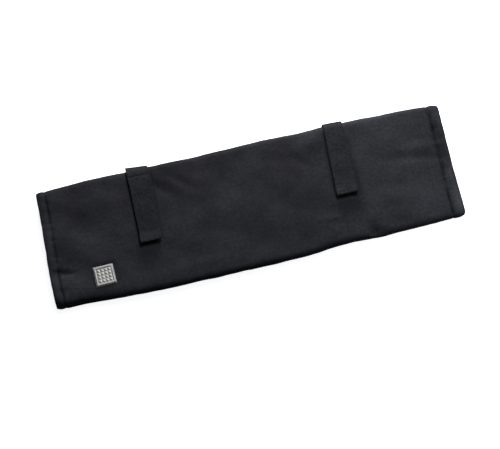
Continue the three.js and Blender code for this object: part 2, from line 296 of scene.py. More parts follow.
class ShaderMaker(NodeMaker):
    # a material's tree, or a shader group's
    def mixColour(self, factor, a, b):
        made = self.add("ShaderNodeMix", data_type="RGBA")
        for label, value in (("Factor", factor), ("A", a), ("B", b)):
            self.put(made.inputs[label], (*value, 1) if isinstance(value, tuple) else value)
        return made.outputs["Result"]

    def rescaled(self, value, low, high, outLow=0.0, outHigh=1.0):
        inputs = {"Value": value, "From Min": low, "From Max": high,
                  "To Min": outLow, "To Max": outHigh}
        return self.first("ShaderNodeMapRange", inputs)

    def noise(self, position, scale, detail=2.0, stretch=None):
        if stretch:
            inputs = {"Vector": position, "Scale": stretch}
            position = self.first("ShaderNodeMapping", inputs)
        inputs = {"Vector": position, "Scale": scale, "Detail": detail}
        return self.first("ShaderNodeTexNoise", inputs)

    def bump(self, strength, distance, height):
        inputs = {"Strength": strength, "Distance": distance, "Height": height}
        return self.first("ShaderNodeBump", inputs)

    def field(self, label):
        # a value that the mesh carries
        return self.add("ShaderNodeAttribute", attribute_name=label).outputs["Fac"]

    def place(self):
        return self.add("ShaderNodeTexCoord").outputs["Object"]


def newMaterial(name):
    material = bpy.data.materials.new(name)
    material.use_nodes = True
    tree = material.node_tree
    return material, ShaderMaker(tree), tree.nodes["Principled BSDF"].inputs


def setValues(shader, values):
    for label, value in values.items():
        shader[label].default_value = value


def shades(colour, *shares):
    return [tuple(part * share for part in colour) for share in shares]


# Camera and studio
cameraView = {
    "azimuth": -13.26,
    "elevation": 74.0,
    "distance": 1427.5,
    "aim": (-6.8, -21.7, 0.0),
    "lens": 85.0,
    "sensor": 36.0,
    "clip": (0.05, 60.0),          # metres
}

studio = {
    "floorSize": 40.0,             # metres
    "floorColour": (0.90, 0.905, 0.915),
    "floorGlow": 0.985,            # the lit table, as the camera sees it
    "floorBounce": 0.07,           # how much of its colour it throws back on the roll
    "floorRoughness": 0.9,
    "floorSpecular": 0.1,
    "worldColour": (0.86, 0.93, 1.0),
    "worldStrength": 0.07,
    # from where on the compass, how high, how far in metres, size in metres, watts, colour
    "lights": {
        "key_light": (152, 56, 1.15, 0.26, 10.2, (0.97, 0.98, 1.0)),
        "top_light": (150, 68, 1.3, 0.5, 2.6, (0.95, 0.975, 1.0)),
        "rim_light": (172, 16, 1.2, 0.4, 13.0, (1.0, 0.99, 0.98)),
        "right_light": (60, 14, 0.5, 0.14, 0.35, (0.97, 0.985, 1.0)),
    },
}


def lookFrom(name, data, compass, elevation, away, aim=(0.0, 0.0, 0.0)):
    # a camera or a light at a compass place and height, turned to its aim; 0 is the front
    a, e = math.radians(compass), math.radians(elevation)
    back = Vector((math.sin(a) * math.cos(e), -math.cos(a) * math.cos(e), math.sin(e)))
    piece = linkedObject(name, data)
    piece.location = Vector(aim) + back * away
    piece.rotation_euler = (-back).to_track_quat("-Z", "Y").to_euler()
    return piece


def makeCamera(view):
    data = bpy.data.cameras.new("camera")
    data.lens, data.sensor_width = view["lens"], view["sensor"]
    data.clip_start, data.clip_end = view["clip"]
    aim = Vector(view["aim"]) / perMetre
    bpy.context.scene.camera = lookFrom("camera", data, view["azimuth"], view["elevation"],
                                        view["distance"] / perMetre, aim)


def makeFloorMaterial(setup):
    # lit from behind as the camera sees it, and dark to the light that falls on it
    material, maker, shader = newMaterial("lit table")
    seen = maker.add("ShaderNodeLightPath").outputs["Is Camera Ray"]
    colour = setup["floorColour"]
    maker.put(shader["Emission Strength"], maker.times(seen, setup["floorGlow"]))
    bounced = maker.mixColour(seen, *shades(colour, setup["floorBounce"], 1))
    maker.put(shader["Base Color"], bounced)
    setValues(shader, {"Roughness": setup["floorRoughness"], "Emission Color": (*colour, 1),
                       "Specular IOR Level": setup["floorSpecular"]})
    return material


def makeStudio(setup):
    scene = bpy.context.scene
    scene.view_settings.view_transform = "Standard"
    scene.world = bpy.data.worlds.new("studio")
    scene.world.use_nodes = True
    sky = scene.world.node_tree.nodes["Background"].inputs
    setValues(sky, {"Color": (*setup["worldColour"], 1), "Strength": setup["worldStrength"]})
    half = setup["floorSize"] / 2
    mesh = bpy.data.meshes.new("floor")
    corners = [(-half, -half, 0), (half, -half, 0), (half, half, 0), (-half, half, 0)]
    mesh.from_pydata(corners, [], [(0, 1, 2, 3)])
    mesh.materials.append(makeFloorMaterial(setup))
    linkedObject("floor", mesh)
    for name, (compass, height, away, size, watts, colour) in setup["lights"].items():
        lamp = bpy.data.lights.new(name, "AREA")
        lamp.size, lamp.energy, lamp.color = size, watts, colour
        lookFrom(name, lamp, compass, height, away)


makeCamera(cameraView)
makeStudio(studio)
print("camera and studio ready")


# Textiles
def newGroup(name, inputs, outputs):
    maker = ShaderMaker(bpy.data.node_groups.new(name, "ShaderNodeTree"))
    for label, value in inputs.items():
        maker.socket(label, "Vector" if value is None else "Float", value)
    for label in outputs:
        maker.socket(label, "Float", way="OUTPUT")
    return maker, maker.add("NodeGroupInput").outputs, maker.add("NodeGroupOutput").inputs


def makeWeaveGroup():
    # plain weave on a flat layout in metres: the yarns' height, and a tint that varies by yarn
    sizes = {"Position": None, "Yarn": 0.0006, "Unevenness": 0.4}
    maker, given, result = newGroup("plain weave", sizes, ("Height", "Tint"))
    split = maker.add("ShaderNodeSeparateXYZ", {"Vector": given["Position"]})
    waves = []
    for axis in (0, 1):
        turns = maker.maths("DIVIDE", split.outputs[axis], given["Yarn"])
        waves.append(maker.maths("SINE", maker.times(turns, math.pi)))
    crossing = maker.times(*waves)
    bump = maker.maths("POWER", maker.maths("ABSOLUTE", crossing), 0.6)
    over = maker.times(maker.maths("SIGN", crossing), 0.12)
    yarns = [maker.noise(given["Position"], 1.0, 2.0, stretch)
             for stretch in ((90, 1500, 1), (1500, 90, 1))]
    uneven = maker.maths("ADD", *yarns)
    maker.put(result["Height"], maker.maths("MULTIPLY_ADD", uneven, given["Unevenness"], bump))
    maker.put(result["Tint"], maker.maths("ADD", over, uneven))
    return maker.tree


def makeGreyingAndLightGroup():
    # where a black textile has greyed from handling in cloudy patches, added to the mark that the
    # mesh carries: worn raised edges, painted highlights and painted shade
    sizes = {"Position": None, "Wear And Painted Light": 0.0, "Patch Size": 0.02, "Patches": 0.3, "Edges": 0.3}
    maker, given, result = newGroup("greying and painted light", sizes, ("Greying And Painted Light", "Mottle"))
    spread = maker.scaled(given["Position"], maker.maths("DIVIDE", 1.0, given["Patch Size"]))
    cloud = maker.rescaled(maker.noise(spread, 1.0, 3.0), 0.38, 0.68)
    # the mesh's mark of wear, painted light and painted shade, weighted
    edges = maker.times(given["Wear And Painted Light"], given["Edges"])
    maker.put(result["Greying And Painted Light"], maker.maths("MULTIPLY_ADD", cloud, given["Patches"], edges))
    fine = maker.noise(maker.scaled(given["Position"], 300.0), 1.0, 3.0)
    maker.put(result["Mottle"], maker.rescaled(fine, 0.38, 0.62))
    return maker.tree


weaveGroup, greyingAndLightGroup = makeWeaveGroup(), makeGreyingAndLightGroup()


def textileMaterial(name, look):
    # a dark woven textile that follows the piece's own flat layout
    material, maker, shader = newMaterial(name)
    flat = maker.first("ShaderNodeUVMap", uv_map="cloth")
    inputs = {"Position": flat, "Yarn": look["yarn"], "Unevenness": look["unevenness"]}
    weave = maker.add("ShaderNodeGroup", inputs, node_tree=weaveGroup)
    inputs = {"Position": flat, "Wear And Painted Light": maker.field("wearAndPaintedLight"), "Patch Size": look["patchSize"],
              "Patches": look["patches"], "Edges": look["edges"]}
    greyingAndLight = maker.add("ShaderNodeGroup", inputs, node_tree=greyingAndLightGroup)
    tint = maker.rescaled(weave.outputs["Tint"], 0.65, 1.35)
    tint = maker.maths("MULTIPLY_ADD", greyingAndLight.outputs["Mottle"], look["mottle"],
                       maker.times(tint, 1 - look["mottle"]))
    colour = maker.mixColour(tint, look["dark"], look["light"])
    hem = maker.times(maker.field("hem"), look["hemTint"])
    colour = maker.mixColour(hem, colour, look["hemColour"])
    fadedAndLit = maker.mixColour(tint, *shades(look["fadedAndLit"], 0.68, 1.36))
    # greying from handling, with the painted highlights and painted shade that the mesh carries
    colour = maker.mixColour(greyingAndLight.outputs["Greying And Painted Light"], colour, fadedAndLit)
    # painted shade along the seams and beside the straps
    colour = maker.mixColour(maker.field("seamAndShade"), colour, look["paintedShade"])
    maker.put(shader["Base Color"], colour)
    bump = maker.bump(look["bump"], look["yarn"] * 0.5, weave.outputs["Height"])
    maker.put(shader["Normal"], bump)
    setValues(shader, {"Roughness": look["roughness"], "Specular IOR Level": look["specular"],
                       "Sheen Weight": look["sheen"], "Sheen Roughness": 0.4,
                       "Sheen Tint": (*look["sheenTint"], 1)})
    return material


# The rolled cloth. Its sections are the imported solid's at a finer step, and its folds nearly so
cover = {
    "rollLength": 500.0,
    "rollWidth": 150.0,
    "rollHeight": 20.0,
    "wall": 1.2,
    "layerGap": 0.5,
    "foldCore": 3.0,
    "innerFloor": 3.1,
    "foldMiddle": 0.45,            # share of the height
    "turnedIn": 12.0,              # cloth folded in at each cut end, on average
    "flapSetback": 13.0,
    "innerEdgeSetback": 22.0,
    "topSag": 0.7,
    "flapHem": 9.0,                # turned-in cloth along the two long free edges
    "squareFold": 0.55,            # 1 is a round front fold, less is squarer
    "facetDepth": 6.0,             # front to back, at the left corner
    "wrinkle": 1.5,                # height of the small wrinkles
    "pucker": 0.50,                # height of the gathers along the hem seams
    "hiddenDrop": 0.9,             # how much deeper the hidden layers lie, in from the ends
    "tableGap": 0.02,              # nothing reaches down past the table
    # at the left end and at the right end
    "hemWidth": (10.5, 13.5),
    "grooveDepth": (0.75, 1.0125),
    "grooveWidth": (1.6, 1.3),
    "seamWidth": (1.4, 1.8),       # of the dark line along the stitches
    "hemDrift": (0.0, -2.4),       # sideways shift of the seam near the front fold
    "look": {
        "yarn": 0.00062, "unevenness": 0.35, "bump": 0.50, "roughness": 0.60, "specular": 0.10,
        "sheen": 0.03, "sheenTint": (0.70, 0.82, 1.0), "mottle": 0.5,
        # edges weights the mark of wear and painted light; the last colour is painted shade, for
        # the seams and beside the straps
        "patchSize": 0.036, "patches": 0.22, "edges": 0.34, "hemTint": 0.10,
        "dark": (0.0062, 0.0064, 0.0088), "light": (0.0140, 0.0144, 0.0184),
        "fadedAndLit": (0.034, 0.0355, 0.0425), "hemColour": (0.0100, 0.0096, 0.0104),
        "paintedShade": (0.0032, 0.0034, 0.0060),
    },
}

# small wrinkles: share of their height, size, seed
wrinkles = [(0.5, 30, 11), (0.28, 15, 12), (0.09, 6, 18)]
slantedWrinkles = (0.4, 20, 13)

# place, front fold, back fold (shares of the width), height share, bevel share, end slant
sections = [
    (-0.500, -0.481, 0.475, 0.950, 0.70, 0.018),
    (-0.488, -0.490, 0.483, 0.960, 0.68, 0.018),
    (-0.430, -0.498, 0.491, 0.980, 0.42, 0.010),
    (-0.336, -0.511, 0.498, 0.990, 0.10, 0.000),
    (-0.250, -0.519, 0.495, 0.990, 0.05, 0.000),
    (-0.160, -0.521, 0.492, 1.000, 0.05, 0.000),
    (-0.060, -0.521, 0.500, 1.000, 0.05, 0.000),
    (0.040, -0.517, 0.504, 0.990, 0.05, 0.000),
    (0.120, -0.511, 0.501, 0.990, 0.06, 0.000),
    (0.168, -0.493, 0.497, 0.990, 0.08, 0.000),
    (0.212, -0.489, 0.506, 1.000, 0.06, 0.000),
    (0.280, -0.497, 0.500, 0.990, 0.12, 0.000),
    (0.316, -0.490, 0.500, 0.990, 0.08, 0.000),
    (0.380, -0.488, 0.498, 0.980, 0.05, 0.004),
    (0.450, -0.484, 0.490, 0.970, 0.06, 0.016),
    (0.488, -0.481, 0.478, 0.950, 0.08, 0.025),
    (0.500, -0.470, 0.469, 0.940, 0.10, 0.025),
]

# middle along and across, half length and half width (shares), turn in degrees, rise share
folds = [
    (-0.468, -0.235, 0.020, 0.026, -17, -0.10),
    (-0.470, -0.315, 0.026, 0.040, -14, 0.06),
    (-0.206, 0.283, 0.028, 0.036, -44, -0.05),
    (-0.176, 0.305, 0.026, 0.034, -40, 0.05),
    (-0.147, 0.272, 0.036, 0.040, -37, -0.06),
    (-0.155, -0.395, 0.070, 0.045, 3, 0.05),
    (0.141, 0.243, 0.032, 0.042, -51, -0.06),
    (0.184, 0.400, 0.022, 0.080, 0, 0.06),
    (0.288, 0.330, 0.050, 0.060, 84, -0.07),
    (0.222, -0.255, 0.024, 0.055, 8, -0.07),
    (0.262, -0.335, 0.030, 0.050, 6, 0.06),
    (0.266, -0.470, 0.028, 0.045, -8, -0.16),
    (0.330, -0.283, 0.030, 0.060, 20, -0.02),
    (0.410, 0.073, 0.068, 0.040, -10, -0.08),
    (0.436, 0.145, 0.045, 0.045, -8, 0.05),
    (0.363, -0.050, 0.040, 0.080, 30, 0.04),
    (-0.340, 0.060, 0.090, 0.140, 35, -0.04),
    (-0.040, -0.060, 0.120, 0.160, -12, 0.04),
]

# broad rises and hollows of the top: x, y, half length, half width, turn in degrees, rise
swells = [
    (-206, 20, 34, 13, -42, -1.1),
    (-128, -42, 5, 12, 0, -0.6),
    (-56, 53, 26, 6, -8, -0.6),
    (-37, -4, 40, 15, 10, 0.6),
    (44, 44, 26, 7, -17, -1.0),
    (86, 58, 12, 9, 10, 0.8),
    (70, 2, 26, 13, -30, 0.7),
    (158, -18, 30, 7, -8, -0.4),
    (186, -33, 34, 8, -12, 0.6),
    (168, -60, 14, 5, -20, -0.6),
    (160, 55, 18, 8, -5, 0.5),
]

# sharper creases pressed into the top: from x, y to x, y, half width, depth (below 0 is a ridge)
creases = [
    (-114, 58, -106, 43, 3.0, 1.00),
    (-106, 42, -94, 33, 3.4, 0.50),
    (-86, 53, -62, 35, 5.0, 0.30),
    (-245, -31, -222, -38, 2.2, 0.75),
    (-241, -36, -226, -42, 3.2, -0.45),
    (62, 46, 77, 28, 4.6, 0.40),
    (133, 62, 139, 28, 3.4, 0.60),
    (86, -30, 122, -35, 4.6, 0.55),
    (76, -41, 128, -46, 3.2, -1.00),
    (120, -66, 148, -71, 4.6, 0.90),
    (118, -53, 142, -55, 4.0, -0.45),
    (180, 13, 232, 3, 4.6, 0.40),
    (186, 24, 238, 17, 5.0, -0.35),
    (-20, 46, 22, 38, 5.0, 0.30),
    (-60, -20, -18, -36, 5.0, 0.28),
    (24, -8, 58, -26, 4.5, 0.32),
    (-176, 20, -150, -8, 4.5, 0.26),
]

# lighter (above 0) and darker places of the top: greying from handling, painted highlights where it
# faces the light and painted shade in its hollows; x, y, half length, half width, turn, amount
greyingAndPaintedLight = [
    (192, 0, 78, 95, 0, 0.75),
    (-85, 50, 34, 16, -12, -0.70),
    (236, 22, 2.6, 46, 0, -0.95),
    (-245, 0, 3, 13, 0, 0.80),
    (-245, -48, 3, 12, 0, 0.60),
    (244, -19, 4, 6, 0, 1.60),
    (246, -32, 4, 20, 0, 0.60),
    (246, -56, 5, 15, 0, 2.40),
    (245, 55, 6, 11, 0, 1.50),
    (241, 5, 4, 7, 0, -0.70),
    (241, 34, 4, 4, 0, -0.50),
    (231, 14, 4, 4, 0, 0.80),
    (-212, 36, 26, 13, -30, -0.35),
    (-224, -47, 20, 16, 0, 1.10),
    (-30, -35, 22, 14, 0, 0.50),
    (190, 56, 50, 14, 0, 0.50),
    (162, 72, 55, 5, 0, 1.60),
    (60, 73, 60, 4, 0, 0.80),
    (212, 2, 24, 10, 0, -0.50),
    (222, -42, 22, 20, 0, 0.80),
    (-206, 2, 26, 8, -40, 0.35),
    (-130, -40, 12, 12, 0, -0.40),
    (-66, 59, 30, 6, -6, -0.30),
    (-92, 58, 12, 4, 0, 0.50),
    (-40, 6, 36, 12, 8, 0.25),
    (44, 46, 26, 8, -17, -0.35),
    (84, 63, 18, 8, 8, 1.20),
    (160, 66, 30, 5, -4, 0.70),
    (128, -14, 8, 22, 0, -0.60),
    (106, -32, 18, 7, -6, -0.75),
    (76, -16, 24, 16, -30, -0.45),
    (168, -60, 16, 6, -20, -0.50),
    (-125, -60, 105, 8, 0, 0.45),
    (-160, 25, 14, 11, 0, 0.45),
    (-160, 56, 16, 9, 0, -0.50),
    (150, 10, 14, 22, 0, 0.40),
]

# painted shadow where the cloth lies dark beside the straps, and one line of it by the right hem:
# from x, y to x, y, half width, amount
paintedShadows = [
    (-100, 56, -72, 49, 10.0, 0.46),
    (-109.6, 66, -112.6, -18, 1.7, 0.90),
    (-139.6, 60, -140.4, -20, 1.3, 0.60),
    (132, 52, 131, -16, 3.0, 0.50),
    (104.9, 64, 100.6, -16, 1.8, 0.95),
    (241, 62, 243, 6, 2.4, 0.40),
]

# knocks in the two hem strips: x, y, half length, half width, depth
hemDents = [
    (240.5, 40, 4.0, 3.0, 0.9),
    (244.0, 27, 2.6, 5.0, 0.8),
    (239.5, 14, 2.2, 4.0, 0.6),
    (246.0, 4, 2.0, 4.0, -0.4),
    (243.0, -12, 3.0, 3.0, 0.5),
    (241.0, -38, 2.5, 4.5, 0.5),
    (-244.0, 58, 3.0, 3.5, 0.5),
    (-245.5, 30, 2.0, 4.0, 0.45),
    (-244.0, 4, 2.5, 5.0, -0.3),
    (-245.0, -24, 2.5, 3.0, 0.5),
    (-243.0, -54, 3.0, 4.0, 0.5),
]

# how far the two ends stand out past the plain section: y, left, right
endReach = [
    (-75, 0.7, -0.2),
    (-60, 0.9, -0.6),
    (-40, 1.4, -1.1),
    (-20, 1.4, -1.4),
    (0, 1.3, -0.8),
    (25, 1.2, -0.4),
    (50, 1.2, -0.2),
    (72, 2.2, 0.0),
]

# how far the front and the back fold stand out past the plain section: x, front, back
sideReach = [
    (-250, 0.0, 0.0),
    (-234, 0.0, -0.7),
    (-180, 0.3, 0.7),
    (-142, 0.2, 0.0),
    (-106, 0.2, 0.9),
    (-92, 1.0, 1.0),
    (-66, 0.2, 0.7),
    (-36, 0.8, -0.8),
    (0, 0.5, -0.8),
    (30, 1.1, 0.0),
    (58, 0.2, 1.0),
    (92, 0.5, -0.2),
    (112, 0.2, 0.0),
    (140, 1.2, 0.3),
    (186, 0.7, 0.3),
    (206, 0.0, 0.7),
    (222, 0.2, 0.9),
    (246, 0.7, 0.0),
]

strap = {
    "width": 24.5,
    "thickness": 1.3,
    "clearance": 0.3,
    "standoff": 3.0,               # height over the top face, with the closure tape below
    "backSlack": 1.1,              # gap to the cloth over the back fold
    "root": 24.0,                  # sewn on, inside the roll
    "turnUnder": 9.0,
    "tipLift": 2.2,
    "seamSetback": 6.5,            # from the free end to the line of stitches
    "ribPitch": 1.35,
    "ribDepth": 0.09,
    "sides": {
        "left": {
            "along": -0.253, "across": -0.133,    # the free end, as shares
            "lean": 0.010,                        # sideways shift for each mm across
            "twist": (2.3, 0.8, -0.4),            # more slack at its left, middle and right
            # distance from the free end, and how far each side stands out past a straight webbing
            "bow": [(0, 0.2, 0.6), (20, 0.0, 0.8), (45, 0.2, 1.8), (75, 0.4, 2.8), (88, 0.9, 2.6),
                    (93, 1.1, 1.0), (98, 1.3, -1.8)],
            "crease": (82, 0.55),                 # distance from the free end, depth
            # how much lighter it is all along, lumps near the free end, its raised edges and the
            # hollow between them
            "greyingAndLight": 0.0, "lumps": 0.25, "curl": 0.35, "dip": 0.0, "seed": 35,
        },
        "right": {
            "along": 0.2315, "across": -0.107,
            "lean": 0.038,
            "twist": (0.0, 0.0, -0.2),
            "bow": [(0, 1.8, -0.3), (20, 1.5, 0.3), (45, 0.8, 0.4), (75, 0.2, -0.5), (95, 0, -0.8)],
            "crease": (90, 0.25),
            "greyingAndLight": 0.45, "lumps": 0.5, "curl": 0.15, "dip": 2.0, "seed": 36,
        },
    },
    "look": {
        "yarn": 0.00068, "unevenness": 0.25, "bump": 0.5, "roughness": 0.62, "specular": 0.12,
        "sheen": 0.03, "sheenTint": (0.85, 0.9, 1.0), "mottle": 0.75,
        # edges weights the mark of wear and painted light; the last colour is painted shade, for
        # the stitch line and the right edge
        "patchSize": 0.02, "patches": 0.18, "edges": 0.3, "hemTint": 0.0,
        "dark": (0.0020, 0.0023, 0.0042), "light": (0.0084, 0.0091, 0.0134),
        "fadedAndLit": (0.030, 0.031, 0.032), "hemColour": (0.02, 0.02, 0.02),
        "paintedShade": (0.003, 0.003, 0.003),
    },
}

badge = {
    "side": 24.0,
    "along": -0.377,               # its middle, as shares
    "across": -0.323,
    "turn": 1.2,                   # degrees
    "thickness": 1.7,
    "flange": 0.8,
    "flangeHeight": 0.5,
    "rimWidth": 2.1,
    "rimDepth": 0.6,
    "studs": 4,
    "studRise": 0.45,
    "look": {
        "metal": (0.41, 0.406, 0.388),
        "recess": (0.20, 0.197, 0.188),
        "roughness": 0.50,
    },
}

rollLength, rollWidth = cover["rollLength"], cover["rollWidth"]
rollHeight, wall = cover["rollHeight"], cover["wall"]
foldReach = 4 * wall + cover["layerGap"] + cover["foldCore"]
foldMiddle = cover["foldMiddle"] * rollHeight
innerFloor = cover["innerFloor"]
quarterTurn = math.pi / 2
badgeX, badgeY = badge["along"] * rollLength, badge["across"] * rollWidth
# the roll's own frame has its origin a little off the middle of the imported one
badgeBox = np.array(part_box("badge")) * perMetre
rollShift = np.append(np.round(badgeBox.mean(0)[:2] - (badgeX, badgeY), 3), 0.0)
topFolds = [(along * rollLength, across * rollWidth, run * rollLength, breadth * rollWidth, turn,
             rise * rollHeight) for along, across, run, breadth, turn, rise in folds]


def readSections(at):
    # a smooth curve through each column of the sections table
    table = np.array(sections)
    places = table[:, 0]
    last = len(table) - 1
    before = np.maximum(np.arange(last + 1) - 1, 0)
    after = np.minimum(np.arange(last + 1) + 1, last)
    slopes = (table[after] - table[before]) / (places[after] - places[before])[:, None]
    at = np.clip(at, places[0], places[-1])
    i = np.clip(np.searchsorted(places, at, side="left") - 1, 0, last - 1)
    span = (places[i + 1] - places[i])[..., None]
    t = (at[..., None] - places[i][..., None]) / span
    rest = 1 - t
    curve = rest * rest * (1 + 2 * t) * table[i] + t * t * (3 - 2 * t) * table[i + 1]
    curve = curve + t * rest * span * (rest * slopes[i] - t * slopes[i + 1])
    names = ("at", "front", "back", "height", "bevel", "lean")
    return {name: curve[..., k] for k, name in enumerate(names)}


def pressedFlat(x, y, fade=8.0):
    # 0 under the straps and the badge, 1 in the open
    half = badge["side"] / 2 + 1
    free = smoothStep(half, half + fade, np.maximum(np.abs(x - badgeX), np.abs(y - badgeY)))
    half = strap["width"] / 2 + 1
    for own in strap["sides"].values():
        middle = own["along"] * rollLength + own["lean"] * (y - own["across"] * rollWidth)
        free = np.minimum(free, smoothStep(half, half + fade, np.abs(x - middle)))
    return free


def topFace(x, y):
    sag = cover["topSag"] * np.maximum(0, 1 - (y / (rollWidth / 2)) ** 2)
    height = readSections(np.asarray(x / rollLength + 0 * y))["height"] * rollHeight
    return height - sag + patches(x, y, topFolds) * pressedFlat(x, y)


def byEnd(pair, x):
    # the left end's value or the right end's
    return np.where(x < 0, *pair)


def hemDistance(x):
    # distance in from the nearer cut end, and that end's hem width
    return rollLength / 2 - np.abs(x), byEnd(cover["hemWidth"], x)


def coverStations():
    edge = np.array([0, 0.1, 0.3, 0.6, 1.0, 1.6, 2.6, 4.0, 5.6, 7.2])
    seamAndShade = np.array([-1.6, -1.0, -0.5, 0, 0.5, 1.0, 1.7, 2.7, 4.0])
    leftHem, rightHem = cover["hemWidth"]
    start = -rollLength / 2 + np.concatenate([edge, leftHem + seamAndShade])
    end = rollLength / 2 - np.concatenate([edge, [9.3], rightHem + seamAndShade])
    inner = np.linspace(start.max() + 2.2, end.min() - 2.2, 205)
    return np.sort(np.concatenate([start, inner, end]))


edgeSteps = np.array([0, 0.1, 0.3, 0.6, 1.0, 1.8, 3.0, 5.0, 7.0, 8.2, 9.0, 9.8, 11.5])


def coverPath(x):
    # the cloth's outer side as y and z over stations by path points, before its small relief
    table = readSections(x / rollLength)
    front, back = (table[name][:, None] * rollWidth for name in ("front", "back"))
    bevel = table["bevel"][:, None]
    reach = foldReach + bevel * rollHeight
    distance, hem = hemDistance(x)
    thick = wall * (2 - smoothStep(hem, hem + 0.9, distance))
    inset = (thick + cover["layerGap"])[:, None]
    lowCentre, highCentre, topEnd = front + foldReach, front + reach, back - foldReach
    xs = x[:, None]
    square = cover["squareFold"] + 0.2 * bevel
    parts = []

    def arc(steps, backwards=False):
        angle = evenly(steps)[None, :] * quarterTurn
        angle = quarterTurn - angle if backwards else angle
        return np.maximum(np.cos(angle), 0), np.maximum(np.sin(angle), 0)

    def addPart(y, z):
        parts.append(np.broadcast_arrays(y, z, xs)[:2])

    # the flap under the roll, about this long, then the front fold
    flapLength = 131.0
    t = np.concatenate([edgeSteps / flapLength, np.linspace(16 / flapLength, 1, 14)])[None, :]
    addPart(between(back - cover["flapSetback"], lowCentre, t), 0 * t)
    c, s = arc(10)
    addPart(lowCentre - foldReach * s, foldMiddle * (1 - c))
    c, s = (part ** square for part in arc(16))
    y = highCentre - reach * c
    # the left corner is a steep flat facet with a sharp upper edge
    depth = cover["facetDepth"] * (1 + 0.5 * smoothStep(-232, -248, xs))
    facet = front + depth * s + (reach - depth) * s ** 14
    y = between(y, facet, smoothStep(0.12, 0.50, bevel))
    addPart(y, between(foldMiddle, topFace(xs, y), s))
    # the top and the back fold
    y = between(highCentre, topEnd, evenly(78)[None, :])
    addPart(y, topFace(xs, y))
    lowest = np.minimum(parts[-1][1].min(1), parts[-2][1][:, -6:].min(1))[:, None]
    c, s = arc(13, backwards=True)
    y = back - foldReach * (1 - c)
    addPart(y, between(foldMiddle, topFace(xs, y), s))
    c, s = arc(10)
    addPart(back - foldReach * (1 - c), between(foldMiddle, innerFloor, s))
    # the inner lap. Away from the open ends it lies a little deeper, under the wrinkles
    innerStart = sum(part[0].shape[1] for part in parts)
    drop = cover["hiddenDrop"] * smoothStep(12, 30, distance)[:, None]
    innerHeight = lowest - inset - drop
    addPart(between(topEnd, lowCentre, evenly(9)[None, :]), innerFloor)
    c, s = arc(6)
    addPart(lowCentre - (foldReach - inset) * s, between(foldMiddle, innerFloor, c))
    c, s = (part ** square for part in arc(8))
    addPart(highCentre - (reach - inset) * c, between(foldMiddle, innerHeight, s))
    t = np.concatenate([evenly(9)[:-1] * 0.93, 1 - edgeSteps[::-1] / flapLength])[None, :]
    addPart(between(highCentre, back - cover["innerEdgeSetback"], t), innerHeight)
    y, z = (np.concatenate([part[k] for part in parts], 1) for k in (0, 1))
    return y, z, thick, table["lean"], innerStart


def coverRelief(x, y, travel, total, onTop):
    # how far the cloth's face stands off its plain section: wrinkles, gathers, creases, seams; and
    # a mark of painted shade along the seams and beside the straps
    relief = sum(share * softNoise(x, travel, size, seed) for share, size, seed in wrinkles)
    share, size, seed = slantedWrinkles
    slanted = softNoise(x * 0.8 + travel * 0.5, travel * 0.4 - x * 0.3, size, seed)
    relief = cover["wrinkle"] * (relief + share * slanted)
    relief = relief + (patches(x, y, swells) - patches(x, y, hemDents)) * onTop
    for x0, y0, x1, y1, width, depth in creases:
        along, away = alongLine(x, y, x0, y0, x1, y1)
        taper = 0.35 + 0.65 * np.sin(np.pi * np.clip(along, 0.08, 0.92))
        relief = relief - depth * taper * bell(away, width) * onTop
    distance, hem = hemDistance(x)
    off = distance - hem
    gathers = softNoise(travel, 3, 5.5, 14) + 0.5 * softNoise(travel, off * 0.35, 3.1, 15)
    relief = relief + cover["pucker"] * gathers * bell(off, 6.0)
    groove = byEnd(cover["grooveDepth"], x) * bell(off, byEnd(cover["grooveWidth"], x))
    relief = relief - groove * (0.65 + 0.45 * softNoise(travel, 8, 5.0, 16))
    crown = np.where(distance < hem, np.sin(np.pi * np.clip(distance / hem, 0, 1)), 0)
    relief = relief + crown * (0.15 + 0.85 * onTop)
    fromSeam = np.minimum(travel, total - travel) - cover["flapHem"]
    relief = relief - 0.45 * bell(fromSeam, 0.9)
    # broken dark line of painted shade in the groove where the seam is pulled tight
    dashes = 0.2 + 0.8 * smoothStep(-0.35, 0.35, softNoise(travel, 5, 5.0, 17))
    seamAndShade = bell(off, byEnd(cover["seamWidth"], x)) * dashes + 0.5 * bell(fromSeam, 0.8)
    # painted shadow where the cloth lies dark beside the straps
    for x0, y0, x1, y1, width, amount in paintedShadows:
        seamAndShade = seamAndShade + amount * bell(alongLine(x, y, x0, y0, x1, y1)[1], width) * onTop
    return relief, seamAndShade


def coverSlide(xs, y, travel, lean, inside):
    # sideways shift: slanted and uneven ends, a right hem that widens, both seams wander
    distance, hem = hemDistance(xs)
    place, *ends = np.array(endReach).T
    stand = byEnd([np.interp(y, place, end) for end in ends], xs)
    stand = stand + 0.35 * softNoise(travel, 0, 24, 21) + 0.18 * softNoise(travel, 0, 8, 22)
    nearEnd = smoothStep(0.42, 0.5, np.abs(xs / rollLength))
    slide = lean[:, None] * y + np.sign(xs) * (stand - 2.0 * inside) * nearEnd
    drift = byEnd(cover["hemDrift"], xs) * smoothStep(-8, -50, y)
    wander = 0.8 * softNoise(travel, 6, 10, 23)
    return slide + drift * bell(distance - hem, 9) + wander * bell(distance - hem, 6)


